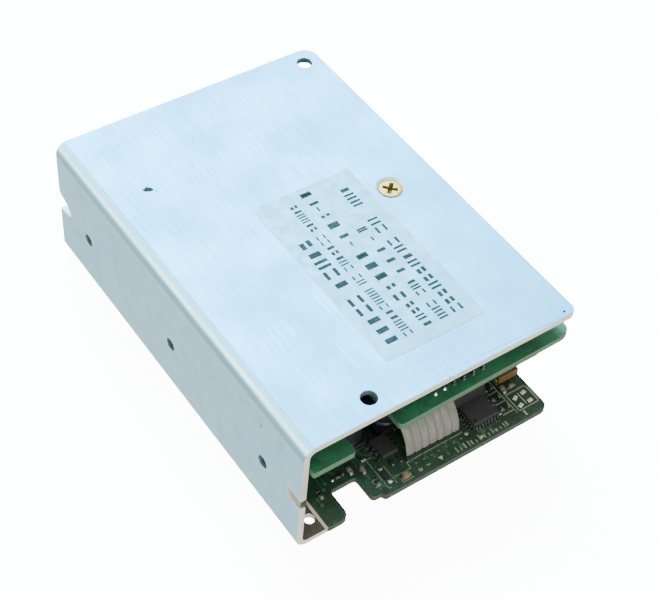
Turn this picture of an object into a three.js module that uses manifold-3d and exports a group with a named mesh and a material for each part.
// Open-frame servo drive: two stacked circuit boards held in a C-shaped sheet-steel bracket.
// Units are millimetres and +Z is up. Inside the drive group, x = 0 is the outer face of the
// side wall, y = 0 is the front edge of the bracket and z = 0 is the underside of the bottom lip.
// The group is shifted so that the origin is the bottom centre of the whole drive.

import * as THREE from 'three';
import { mergeVertices } from 'three/addons/utils/BufferGeometryUtils.js';
import Module from 'manifold-3d';

// ---------------------------------------------------------------- driving dimensions

const PLATE_WIDTH = 69;
const LENGTH = 100;
const HEIGHT = 33.5;
const SHEET = 1.5;
const BEND_RADIUS = 3;
const LIP_WIDTH = 10.5;

const BOARD = 1.6;
const LOWER_BOARD_Z = 14.8;
const MIDDLE_GAP = 9;
const UPPER_BOARD_Z = LOWER_BOARD_Z + BOARD + MIDDLE_GAP;
const LOWER_TOP = LOWER_BOARD_Z + BOARD;
const UPPER_TOP = UPPER_BOARD_Z + BOARD;
const PLATE_UNDERSIDE = HEIGHT - SHEET;
const UPPER_GAP = PLATE_UNDERSIDE - UPPER_TOP;

const LOWER_FRONT = -7.4;
const NIB_STEP = 1;
const UPPER_TAB_FRONT = -1.2;
const UPPER_FRONT_INNER = -0.75;
const UPPER_FRONT_OUTER = 0.05;
const LOWER_REAR = 99.5;
const UPPER_REAR = 99;
const UPPER_RIGHT = PLATE_WIDTH;

const SCREW_SPOT = { x: 57, y: LENGTH / 2 };
const CORNER_HOLES = [{ x: 18.3, y: 4.5 }, { x: 64.6, y: 95.5 }];
const CORNER_HOLE_RADIUS = 1.8;
const WALL_HOLE_PITCH = 36.4;
const WALL_HOLE_RADIUS = 1.5;
const WALL_HOLE_Z = 14.75;
const LIP_HOLE = { x: 5.9, inset: 4, radius: 1.2 };
const SLOT = { height: 2.6, depth: 4.9, z: 15.7 };

const LABEL = { x: 26.7, y: 9.9, width: 25.5, length: 50, thickness: 0.15 };

const STUD_RADIUS = 1.45;
const THREAD_BORE = 1.6;
const HEX_ACROSS_FLATS = 5.5;
const BOARD_HOLE = 1.7;
const PIN_HOLE = 0.5;
const BOARD_CURVES = 5;

const SPACER_SPOTS = {
  front_left: { x: 7, y: 24 },
  rear_left: { x: 7, y: 76 },
  rear_right: { x: 63, y: 80 },
};

const RIBBON = { x: 24.75, width: 13.4, thickness: 0.8 };
const RIBBON_SOCKET = { margin: 0.4, front: -2.8, rear: -1.4, height: 0.8, wall: 0.25, floor: 0.3 };
const NETWORK = { x: 38.7, y: 2.1, pins: 4, pitch: 2.54, drop: 6.4, depth: 2.5 };

const TRIMMER = { width: 6.5, depth: 4.8, height: 4.4, rear: 98.6 };
const ROTOR = { radius: 1.45, thickness: 0.9, shaft: 0.55, clearance: 0.3 };

const ROUND_SIDES = 20;
const SMALL_SIDES = 12;

const OVERALL = {
  centreX: PLATE_WIDTH / 2,
  centreY: (LOWER_FRONT + LENGTH) / 2,
};

// ---------------------------------------------------------------- materials

function finish(colour, roughness, metalness) {
  return new THREE.MeshStandardMaterial({ color: colour, roughness, metalness });
}

const ZINC_STEEL = finish('#c3dce8', 0.35, 0.9);
const LABEL_FOIL = finish('#bbd2d8', 0.4, 0.6);
const YELLOW_ZINC = finish('#d9c27c', 0.35, 0.9);
const NICKEL_BRASS = finish('#c9c6b8', 0.3, 0.95);
const GREEN_BOARD = finish('#2f6a46', 0.45, 0);
const NYLON = finish('#e6e4da', 0.5, 0);
const GREY_RIBBON = finish('#a5a89c', 0.55, 0);
const BLACK_PLASTIC = finish('#1f2020', 0.5, 0);
const WHITE_PLASTIC = finish('#ebe7da', 0.45, 0);
const SILICONE = finish('#8d97a0', 0.8, 0);
const PACKAGE_BLACK = finish('#262627', 0.6, 0);
const CAPACITOR_SLEEVE = finish('#22242c', 0.35, 0);
const TANTALUM_EPOXY = finish('#8a4f2c', 0.5, 0);
const FERRITE = finish('#3b3b3d', 0.7, 0);
const BRIGHT_CAN = finish('#c8c8c8', 0.25, 0.9);
const CERAMIC_WHITE = finish('#e9e6df', 0.5, 0);
const TRIMMER_BLUE = finish('#2f6db5', 0.45, 0);
const CLEAR_RED = finish('#b8322b', 0.25, 0);

// ---------------------------------------------------------------- solid helpers

const wasm = await Module();
wasm.setup();

function toSolid(geometry) {
  const bare = geometry.clone();
  bare.deleteAttribute('normal');
  bare.deleteAttribute('uv');
  const merged = mergeVertices(bare);
  return new wasm.Manifold(new wasm.Mesh({
    numProp: 3,
    vertProperties: Float32Array.from(merged.attributes.position.array),
    triVerts: Uint32Array.from(merged.index.array),
  }));
}

function toGeometry(solid) {
  const mesh = solid.getMesh();
  const geometry = new THREE.BufferGeometry();
  geometry.setAttribute('position', new THREE.BufferAttribute(mesh.vertProperties, 3));
  geometry.setIndex(new THREE.BufferAttribute(mesh.triVerts, 1));
  geometry.computeVertexNormals();
  return geometry;
}

function join(...geometries) {
  const solids = geometries.map(toSolid);
  return toGeometry(solids.reduce((whole, next) => whole.add(next)));
}

function cut(geometry, ...tools) {
  const start = toSolid(geometry);
  return toGeometry(tools.reduce((whole, tool) => whole.subtract(toSolid(tool)), start));
}

function block(x0, x1, y0, y1, z0, z1) {
  const geometry = new THREE.BoxGeometry(x1 - x0, y1 - y0, z1 - z0);
  return geometry.translate((x0 + x1) / 2, (y0 + y1) / 2, (z0 + z1) / 2);
}

function rodZ(radius, z0, z1, x = 0, y = 0, sides = ROUND_SIDES) {
  const geometry = new THREE.CylinderGeometry(radius, radius, z1 - z0, sides);
  return geometry.rotateX(Math.PI / 2).translate(x, y, (z0 + z1) / 2);
}

function rodY(radius, y0, y1, x = 0, z = 0, sides = ROUND_SIDES) {
  const geometry = new THREE.CylinderGeometry(radius, radius, y1 - y0, sides);
  return geometry.translate(x, (y0 + y1) / 2, z);
}

function rodX(radius, x0, x1, y = 0, z = 0, sides = ROUND_SIDES) {
  const geometry = new THREE.CylinderGeometry(radius, radius, x1 - x0, sides);
  return geometry.rotateZ(Math.PI / 2).translate((x0 + x1) / 2, y, z);
}

function hexZ(acrossFlats, z0, z1) {
  const radius = acrossFlats / 2 / Math.cos(Math.PI / 6);
  return rodZ(radius, z0, z1, 0, 0, 6);
}

// A solid of revolution about Z from [radius, height] points that start and end on the axis.
function turned(points, sides = ROUND_SIDES) {
  const profile = points.map(([radius, height]) => new THREE.Vector2(radius, height));
  return new THREE.LatheGeometry(profile, sides).rotateX(Math.PI / 2);
}

// A closed outline through [x, y, cornerRadius] corners.
function filletedShape(corners) {
  const shape = new THREE.Shape();
  corners.forEach(([x, y, radius = 0], i) => {
    const corner = new THREE.Vector2(x, y);
    const before = corners[(i + corners.length - 1) % corners.length];
    const after = corners[(i + 1) % corners.length];
    const back = new THREE.Vector2(before[0] - x, before[1] - y).setLength(radius).add(corner);
    const ahead = new THREE.Vector2(after[0] - x, after[1] - y).setLength(radius).add(corner);
    if (i === 0) shape.moveTo(back.x, back.y);
    else shape.lineTo(back.x, back.y);
    if (radius > 0) shape.quadraticCurveTo(x, y, ahead.x, ahead.y);
  });
  shape.closePath();
  return shape;
}

function roundHole(x, y, radius) {
  return new THREE.Path().absarc(x, y, radius, 0, Math.PI * 2, true);
}

function extrudeZ(shape, z0, z1, curveSegments = 5) {
  const options = { depth: z1 - z0, bevelEnabled: false, curveSegments };
  return new THREE.ExtrudeGeometry(shape, options).translate(0, 0, z0);
}

// The shape's own axes become X and Z, and it runs along Y.
function extrudeY(shape, y0, y1, curveSegments = 5) {
  return extrudeZ(shape, 0, y1 - y0, curveSegments).rotateX(Math.PI / 2).translate(0, y1, 0);
}

// The shape's own axes become Y and Z, and it runs along X.
function extrudeX(shape, x0, x1, curveSegments = 5) {
  const geometry = extrudeZ(shape, 0, x1 - x0, curveSegments);
  return geometry.rotateX(Math.PI / 2).rotateZ(Math.PI / 2).translate(x0, 0, 0);
}

// ---------------------------------------------------------------- scene graph helpers

const drive = new THREE.Group();
drive.position.set(-OVERALL.centreX, -OVERALL.centreY, 0);

function place(name, geometry, material, x = 0, y = 0, z = 0, turn = 0) {
  const mesh = new THREE.Mesh(geometry, material);
  mesh.name = name;
  mesh.position.set(x, y, z);
  mesh.rotation.z = turn;
  drive.add(mesh);
}

// ---------------------------------------------------------------- bracket and what is fixed to it

function bracketSection() {
  const outer = BEND_RADIUS;
  const inner = BEND_RADIUS - SHEET;
  const topBend = HEIGHT - BEND_RADIUS;
  const section = new THREE.Shape();
  section.moveTo(PLATE_WIDTH, HEIGHT);
  section.absarc(outer, topBend, outer, Math.PI / 2, Math.PI, false);
  section.absarc(outer, outer, outer, Math.PI, Math.PI * 1.5, false);
  section.lineTo(LIP_WIDTH, 0);
  section.lineTo(LIP_WIDTH, SHEET);
  section.absarc(outer, outer, inner, Math.PI * 1.5, Math.PI, true);
  section.absarc(outer, topBend, inner, Math.PI, Math.PI / 2, true);
  section.lineTo(PLATE_WIDTH, PLATE_UNDERSIDE);
  section.closePath();
  return section;
}

function plateCornerCutter(y, towards, radius) {
  const edgeX = PLATE_WIDTH;
  const shape = new THREE.Shape();
  shape.moveTo(edgeX - radius, y);
  shape.quadraticCurveTo(edgeX, y, edgeX, y - towards * radius);
  shape.lineTo(edgeX + 1, y - towards * radius);
  shape.lineTo(edgeX + 1, y + towards);
  shape.lineTo(edgeX - radius, y + towards);
  shape.closePath();
  return extrudeZ(shape, PLATE_UNDERSIDE - 1, HEIGHT + 1);
}

function frontSlot() {
  const endY = SLOT.depth - SLOT.height / 2;
  const round = rodX(SLOT.height / 2, -1, BEND_RADIUS, endY, SLOT.z, SMALL_SIDES);
  const low = SLOT.z - SLOT.height / 2;
  return join(round, block(-1, BEND_RADIUS, -1, endY, low, low + SLOT.height));
}

function rearSlot() {
  const low = SLOT.z - SLOT.height / 2 - 0.3;
  const shape = filletedShape([
    [LENGTH + 1, low - 0.4],
    [LENGTH + 1, low + 5.3],
    [LENGTH - 5.4, low + SLOT.height, 1.2],
    [LENGTH - 5.4, low + 0.4, 0.8],
  ]);
  return extrudeX(shape, -1, BEND_RADIUS, 3);
}

function countersink() {
  const top = HEIGHT + 0.5;
  return turned([[0, PLATE_UNDERSIDE - 1], [1.8, PLATE_UNDERSIDE - 1], [1.8, PLATE_UNDERSIDE],
    [1.8 + SHEET + 0.5, top], [0, top]]).translate(SCREW_SPOT.x, SCREW_SPOT.y, 0);
}

function chassisBracket() {
  const middle = LENGTH / 2;
  const wallHoles = [-1, 0, 1].map((step) => rodX(WALL_HOLE_RADIUS, -1, BEND_RADIUS,
    middle + step * WALL_HOLE_PITCH, WALL_HOLE_Z));
  const plateHoles = CORNER_HOLES.map((hole) => rodZ(CORNER_HOLE_RADIUS, PLATE_UNDERSIDE - 1,
    HEIGHT + 1, hole.x, hole.y));
  const lipHoles = [LIP_HOLE.inset, LENGTH - LIP_HOLE.inset].map((y) => rodZ(LIP_HOLE.radius,
    -1, SHEET + 1, LIP_HOLE.x, y));
  return cut(extrudeY(bracketSection(), 0, LENGTH), ...wallHoles, ...plateHoles, ...lipHoles,
    countersink(), frontSlot(), rearSlot(),
    plateCornerCutter(LENGTH, 1, 3.2), plateCornerCutter(0, -1, 2));
}

function ratingLabel() {
  const corner = 0.8;
  const shape = filletedShape([
    [0, 0, corner],
    [LABEL.width, 0, corner],
    [LABEL.width, LABEL.length, corner],
    [0, LABEL.length, corner],
  ]);
  return extrudeZ(shape, 0, LABEL.thickness, 3);
}

function plateScrew() {
  const headTop = HEIGHT - 0.25;
  const headRadius = 2.65;
  const edge = 0.1;
  const tip = PLATE_UNDERSIDE - 2.4;
  const neck = headTop - edge - (headRadius - STUD_RADIUS);
  const body = turned([[0, tip], [STUD_RADIUS - 0.3, tip], [STUD_RADIUS, tip + 0.4],
    [STUD_RADIUS, neck], [headRadius, headTop - edge], [headRadius, headTop], [0, headTop]]);
  const recessFloor = headTop - 1;
  const arm = 1.65;
  const half = 0.32;
  return cut(body, block(-arm, arm, -half, half, recessFloor, headTop + 1),
    block(-half, half, -arm, arm, recessFloor, headTop + 1));
}

// ---------------------------------------------------------------- boards and their supports

function fixingHoles() {
  const spots = [SCREW_SPOT, ...Object.values(SPACER_SPOTS)];
  return spots.map((spot) => roundHole(spot.x, spot.y, BOARD_HOLE));
}

function upperBoard() {
  const shape = filletedShape([
    [SHEET + 0.3, UPPER_TAB_FRONT, 0.5],
    [12, UPPER_TAB_FRONT, 0.9],
    [12, 13.3, 1],
    [23, 13.3, 1],
    [23, UPPER_FRONT_INNER, 1.2],
    [UPPER_RIGHT, UPPER_FRONT_OUTER, 3],
    [UPPER_RIGHT, UPPER_REAR, 1.5],
    [SHEET + 0.3, UPPER_REAR, 1.5],
  ]);
  shape.holes = fixingHoles();
  for (let i = 0; i < NETWORK.pins; i += 1) {
    shape.holes.push(roundHole(NETWORK.x + i * NETWORK.pitch, NETWORK.y, PIN_HOLE));
  }
  return extrudeZ(shape, 0, BOARD, BOARD_CURVES);
}

function lowerBoard() {
  const left = SHEET + 0.2;
  const relief = 2.5;
  const earDepth = 1.4;
  const middle = LENGTH / 2;
  const reliefs = [1, 0, -1].flatMap((step) => {
    const y = middle + step * WALL_HOLE_PITCH;
    return [[left, y + relief, 0.4], [left + relief, y + relief, 1],
      [left + relief, y - relief, 1], [left, y - relief, 0.4]];
  });
  const shape = filletedShape([
    [left, LOWER_FRONT, 0.6],
    [6.9, LOWER_FRONT, 2],
    [6.9, -0.4, 0.8],
    [13.2, -0.4, 0.8],
    [13.2, LOWER_FRONT + NIB_STEP, 1.2],
    [15.3, LOWER_FRONT + NIB_STEP, 0.2],
    [15.9, LOWER_FRONT, 0.4],
    [58.4, LOWER_FRONT, 2],
    [58.4, 5.5, 3],
    [67.5, 5.5, 1.5],
    [67.5, LOWER_REAR, 1.5],
    [left, LOWER_REAR, 1],
    ...reliefs,
    [left, 2.6, 0.2],
    [left - earDepth, 2.6, 0.3],
    [left - earDepth, 0.2, 0.3],
    [left, 0.2, 0.2],
  ]);
  shape.holes = fixingHoles();
  return extrudeZ(shape, 0, BOARD, BOARD_CURVES);
}

// A hexagonal pillar from z = 0 to height, with a stud on top and a threaded bore below.
function standoff(height, studLength, boreDepth) {
  const stud = rodZ(STUD_RADIUS, height - 0.5, height + studLength, 0, 0, SMALL_SIDES);
  const pillar = hexZ(HEX_ACROSS_FLATS, 0, height);
  const body = studLength > 0 ? join(pillar, stud) : pillar;
  return cut(body, rodZ(THREAD_BORE, -1, boreDepth, 0, 0, SMALL_SIDES));
}

// A nylon pillar between the boards, with a snap head beyond each of them.
function boardSpacer() {
  const below = -BOARD;
  const above = MIDDLE_GAP + BOARD;
  return turned([[0, below - 1.8], [0.8, below - 1.8], [2.1, below - 0.3], [1.4, below - 0.3],
    [1.4, 0], [3, 0], [3, MIDDLE_GAP], [1.4, MIDDLE_GAP], [1.4, above + 0.3],
    [2.1, above + 0.3], [0.8, above + 1.8], [0, above + 1.8]], 16);
}

// ---------------------------------------------------------------- board-to-board connections

// The ribbon leaves the underside of the upper board behind its front edge, bows forward and
// drops into its low socket on the lower board.
function ribbonCable() {
  const centreline = new THREE.CatmullRomCurve3([
    [5, 25.2], [4, 24.9], [2.6, 24.2], [1, 22.9], [-0.3, 21.5], [-1.2, 20.1],
    [-1.8, 18.5], [-2.1, 17.3], [-2.1, 16.8],
  ].map(([y, z]) => new THREE.Vector3(0, y, z)));
  const steps = 18;
  const near = [];
  const far = [];
  for (let i = 0; i <= steps; i += 1) {
    const point = centreline.getPoint(i / steps);
    const along = centreline.getTangent(i / steps);
    const offset = new THREE.Vector2(-along.z, along.y).setLength(RIBBON.thickness / 2);
    near.push(new THREE.Vector2(point.y + offset.x, point.z + offset.y));
    far.push(new THREE.Vector2(point.y - offset.x, point.z - offset.y));
  }
  const outline = [...near, ...far.reverse()];
  const keptBelowBoard = outline.map((p) => new THREE.Vector2(p.x, Math.min(p.y, UPPER_BOARD_Z - 0.02)));
  return extrudeX(new THREE.Shape(keptBelowBoard), 0, RIBBON.width);
}

function ribbonSocket() {
  const width = RIBBON.width + 2 * RIBBON_SOCKET.margin;
  const body = block(0, width, RIBBON_SOCKET.front, RIBBON_SOCKET.rear, 0, RIBBON_SOCKET.height);
  const { wall, floor, front, rear, height } = RIBBON_SOCKET;
  return cut(body, block(wall, width - wall, front + wall, rear - wall, floor, height + 1));
}

// A single-in-line resistor network that hangs under the upper board, with its pins through it.
function resistorNetwork() {
  const pins = [];
  const pinTop = BOARD + 1.1;
  for (let i = 0; i < NETWORK.pins; i += 1) {
    const x = i * NETWORK.pitch;
    pins.push(block(x - 0.25, x + 0.25, -0.2, 0.2, -1, pinTop));
  }
  const overhang = 0.4;
  const last = (NETWORK.pins - 1) * NETWORK.pitch;
  const body = block(-overhang, last + overhang, -NETWORK.depth / 2, NETWORK.depth / 2,
    -NETWORK.drop, -0.4);
  return join(body, ...pins);
}

function linkHeader(pinCount) {
  const pitch = 2.54;
  const width = pinCount * pitch;
  const socket = block(0, width, -1.25, 1.25, 0, MIDDLE_GAP - 2.6);
  const header = block(0, width, -1.2, 1.2, MIDDLE_GAP - 2.6, MIDDLE_GAP);
  return join(socket, header);
}

// ---------------------------------------------------------------- components

// A flat power transistor: moulded body, metal tab along its top, and three leads down to the
// board. Its leads point towards -Y.
function powerTransistor() {
  const padThickness = 0.25;
  const top = UPPER_GAP - padThickness;
  const half = 5.1;
  const body = block(-half, half, 0, 9, 0.35, top);
  const tab = cut(block(-half, half, 8, 15.3, top - 1.3, top), rodZ(1.8, 0, UPPER_GAP, 0, 12.5));
  const leads = [-2.54, 0, 2.54].flatMap((x) => [
    block(x - 0.45, x + 0.45, -3.6, 0.5, 1.9, 2.5),
    block(x - 0.45, x + 0.45, -3.6, -3, 0, 2.5),
  ]);
  return join(body, tab, ...leads);
}

// An integrated circuit with leads on two long sides, each lead on its own.
function dualRowIc(length, width, height, leadsPerSide, pitch) {
  const standing = 0.15;
  const reach = width / 2 + 1;
  const span = (leadsPerSide - 1) * pitch;
  const half = pitch * 0.2;
  const leads = [];
  for (let i = 0; i < leadsPerSide; i += 1) {
    const at = i * pitch - span / 2;
    leads.push(block(at - half, at + half, -reach, reach, 0, standing + 0.2));
  }
  return join(block(-length / 2, length / 2, -width / 2, width / 2, standing, height), ...leads);
}

// A square integrated circuit, its fine leads on each side taken together as one ledge.
function quadFlatIc(size, height, span) {
  const standing = 0.15;
  const reach = size / 2 + 1;
  const half = span / 2;
  return join(block(-size / 2, size / 2, -size / 2, size / 2, standing, height),
    block(-half, half, -reach, reach, 0, standing + 0.2),
    block(-reach, reach, -half, half, 0, standing + 0.2));
}

function canCapacitor(radius, height, sides) {
  const rim = 0.5;
  return turned([[0, 0], [radius - rim, 0], [radius, rim], [radius, height - rim],
    [radius - rim, height], [0, height]], sides);
}

function surfaceCan(radius, height) {
  const base = 1;
  const seat = filletedShape([
    [-radius, -radius, 0.1],
    [radius, -radius, 1.2],
    [radius, radius, 1.2],
    [-radius, radius, 0.1],
  ]);
  const can = canCapacitor(radius - 0.15, height - base + 0.2, ROUND_SIDES).translate(0, 0, base - 0.2);
  return join(extrudeZ(seat, 0, base, 2), can);
}

function chipBody(length, width, height) {
  const endCap = 0.8;
  const body = block(-length / 2 + 0.2, length / 2 - 0.2, -width / 2, width / 2, 0.1, height);
  const pads = [-1, 1].map((side) => block(Math.min(side * length / 2, side * (length / 2 - endCap)),
    Math.max(side * length / 2, side * (length / 2 - endCap)),
    -width / 2 + 0.3, width / 2 - 0.3, 0, height - 0.3));
  return join(body, ...pads);
}

function crystalCan() {
  const shape = filletedShape([
    [-5.6, -2.3, 2.2],
    [5.6, -2.3, 2.2],
    [5.6, 2.3, 2.2],
    [-5.6, 2.3, 2.2],
  ]);
  return extrudeZ(shape, 0, 3.5, 4);
}

function powerInductor() {
  return turned([[0, 0], [5.9, 0], [5.9, 1.3], [4.6, 1.6], [4.6, 6.2], [5.9, 6.5],
    [5.9, 7.8], [0, 7.8]]);
}

// A shrouded socket that opens to the rear, with one straight contact pin for each way.
function plugSocket(ways, pitch, width, height) {
  const wall = 0.9;
  const depth = 11;
  const floor = 3;
  const pinLength = 3.4;
  const pinHalf = pitch > 3 ? 0.5 : 0.3;
  const shell = cut(block(-width / 2, width / 2, 0, depth, 0, height),
    block(-width / 2 + wall, width / 2 - wall, floor, depth + 1, wall, height - wall));
  const pins = [];
  for (let i = 0; i < ways; i += 1) {
    const x = (i - (ways - 1) / 2) * pitch;
    const z = height / 2;
    pins.push(block(x - pinHalf, x + pinHalf, floor - 0.5, floor + pinLength, z - pinHalf, z + pinHalf));
  }
  return join(shell, ...pins);
}

function trimmerBody() {
  const half = TRIMMER.width / 2;
  const recess = ROTOR.radius + ROTOR.clearance;
  const depth = ROTOR.thickness + ROTOR.clearance;
  return cut(block(-half, half, -TRIMMER.depth, 0, 0, TRIMMER.height),
    rodY(recess, -depth, 1, 0, TRIMMER.height / 2),
    rodY(ROTOR.shaft + ROTOR.clearance, -depth - 1.6, 1, 0, TRIMMER.height / 2, SMALL_SIDES));
}

// The rotor turns about Y in the recess of the trimmer body, and has a screwdriver slot.
function trimmerRotor() {
  const disc = rodY(ROTOR.radius, -ROTOR.thickness, 0);
  const shaft = rodY(ROTOR.shaft, -ROTOR.thickness - 1.3, -ROTOR.thickness + 0.3, 0, 0, SMALL_SIDES);
  return cut(join(disc, shaft), block(-0.3, 0.3, -0.45, 1, -2, 2));
}

function statusLight() {
  return join(block(-2, 2, -4.5, 0, 0, 4), rodY(1.5, -1, 1.2, 0, 2.1, 16));
}

// ---------------------------------------------------------------- assembly

place('chassis_bracket', chassisBracket(), ZINC_STEEL);
place('rating_label', ratingLabel(), LABEL_FOIL, LABEL.x, LABEL.y, HEIGHT);
place('plate_screw', plateScrew(), YELLOW_ZINC, SCREW_SPOT.x, SCREW_SPOT.y);

place('upper_board', upperBoard(), GREEN_BOARD, 0, 0, UPPER_BOARD_Z);
place('lower_board', lowerBoard(), GREEN_BOARD, 0, 0, LOWER_BOARD_Z);

place('upper_standoff', standoff(UPPER_GAP, 0, UPPER_GAP + 1), NICKEL_BRASS,
  SCREW_SPOT.x, SCREW_SPOT.y, UPPER_TOP);
place('middle_standoff', standoff(MIDDLE_GAP, BOARD + 2, 6), NICKEL_BRASS,
  SCREW_SPOT.x, SCREW_SPOT.y, LOWER_TOP);
place('bottom_standoff', standoff(LOWER_BOARD_Z, BOARD + 4, 8), NICKEL_BRASS,
  SCREW_SPOT.x, SCREW_SPOT.y, 0);
for (const [where, spot] of Object.entries(SPACER_SPOTS)) {
  place(`board_spacer_${where}`, boardSpacer(), NYLON, spot.x, spot.y, LOWER_TOP);
}

place('ribbon_cable', ribbonCable(), GREY_RIBBON, RIBBON.x, 0, 0);
place('ribbon_socket', ribbonSocket(), BLACK_PLASTIC, RIBBON.x - RIBBON_SOCKET.margin, 0, LOWER_TOP);
place('resistor_network', resistorNetwork(), BLACK_PLASTIC, NETWORK.x, NETWORK.y, UPPER_BOARD_Z);
place('link_header', linkHeader(10), BLACK_PLASTIC, 20, 72, LOWER_TOP);

const TRANSISTOR_X = [14, 27, 40];
const TRANSISTOR_GAP = 2.4;
place('thermal_pad', block(7.5, 46.5, 32.5, 67.5, 0, 0.25), SILICONE, 0, 0, PLATE_UNDERSIDE - 0.25);
TRANSISTOR_X.forEach((x, i) => {
  const near = LENGTH / 2 - TRANSISTOR_GAP / 2 - 15.3;
  const far = LENGTH / 2 + TRANSISTOR_GAP / 2 + 15.3;
  place(`power_transistor_${i + 1}`, powerTransistor(), PACKAGE_BLACK, x, near, UPPER_TOP);
  place(`power_transistor_${i + 4}`, powerTransistor(), PACKAGE_BLACK, x, far, UPPER_TOP, Math.PI);
});

[22, 35, 48].forEach((x, i) => {
  place(`bulk_capacitor_${i + 1}`, canCapacitor(5, 12.4, 24), CAPACITOR_SLEEVE, x, 27, 2.2);
});
[16.6, 27].forEach((x, i) => {
  place(`filter_capacitor_${i + 1}`, surfaceCan(4.1, 7.7), CAPACITOR_SLEEVE, x, 9.2, LOWER_TOP);
});
place('tantalum_capacitor', chipBody(6, 3.2, 2.6), TANTALUM_EPOXY, 55.3, 4.1, LOWER_TOP);
place('power_inductor', powerInductor(), FERRITE, 26, 70, LOWER_BOARD_Z - 7.8);

place('control_ic', quadFlatIc(6.8, 1.6, 6), PACKAGE_BLACK, 44.3, -0.4, LOWER_TOP);
place('microcontroller', quadFlatIc(12, 2, 10.6), PACKAGE_BLACK, 28, 46, LOWER_TOP);
place('memory_ic', dualRowIc(4.9, 3.9, 1.6, 4, 1.27), PACKAGE_BLACK, 45, 58, LOWER_TOP);
place('crystal', crystalCan(), BRIGHT_CAN, 44, 42, LOWER_TOP);
TRANSISTOR_X.forEach((x, i) => {
  place(`gate_driver_${i + 1}`, dualRowIc(9.9, 3.9, 1.7, 7, 1.27), PACKAGE_BLACK,
    x, 22.5, UPPER_TOP);
});
place('current_sense_ic', dualRowIc(4.9, 3.9, 1.6, 4, 1.27), PACKAGE_BLACK, 56, 66, UPPER_TOP);
[38, 43.6, 49.2, 54.8].forEach((x, i) => {
  place(`optocoupler_${i + 1}`, dualRowIc(4.4, 4.6, 2.1, 2, 2.54), WHITE_PLASTIC,
    x, 82, LOWER_TOP);
});
[30, 36].forEach((y, i) => {
  place(`shunt_resistor_${i + 1}`, chipBody(6.4, 3.2, 0.9), PACKAGE_BLACK, 57, y, UPPER_TOP);
});
place('surge_diode', chipBody(7.2, 5.9, 2.4), PACKAGE_BLACK, 14, 82, LOWER_TOP);
place('input_fuse', chipBody(10.1, 3.1, 3.1), CERAMIC_WHITE, 26, 82, LOWER_TOP);

const SOCKET_Y = LOWER_REAR - 11;
place('power_connector', plugSocket(2, 3.96, 9.9, 7.8), WHITE_PLASTIC, 9.95, SOCKET_Y, LOWER_TOP);
place('motor_connector', plugSocket(3, 3.96, 13.9, 7.8), WHITE_PLASTIC, 23.6, SOCKET_Y, LOWER_TOP);
place('hall_connector', plugSocket(5, 2, 11.9, 7), WHITE_PLASTIC, 38.3, SOCKET_Y, LOWER_TOP);
place('signal_connector', plugSocket(8, 2, 17.9, 7), WHITE_PLASTIC, 55, SOCKET_Y, LOWER_TOP);

const TRIMMERS = { gain: 20, limit: 32 };
for (const [job, x] of Object.entries(TRIMMERS)) {
  place(`${job}_trimmer_body`, trimmerBody(), TRIMMER_BLUE, x, TRIMMER.rear, UPPER_TOP);
  place(`${job}_trimmer_rotor`, trimmerRotor(), WHITE_PLASTIC, x, TRIMMER.rear,
    UPPER_TOP + TRIMMER.height / 2);
}
place('status_light', statusLight(), CLEAR_RED, 44, 97.6, UPPER_TOP);

export default drive;
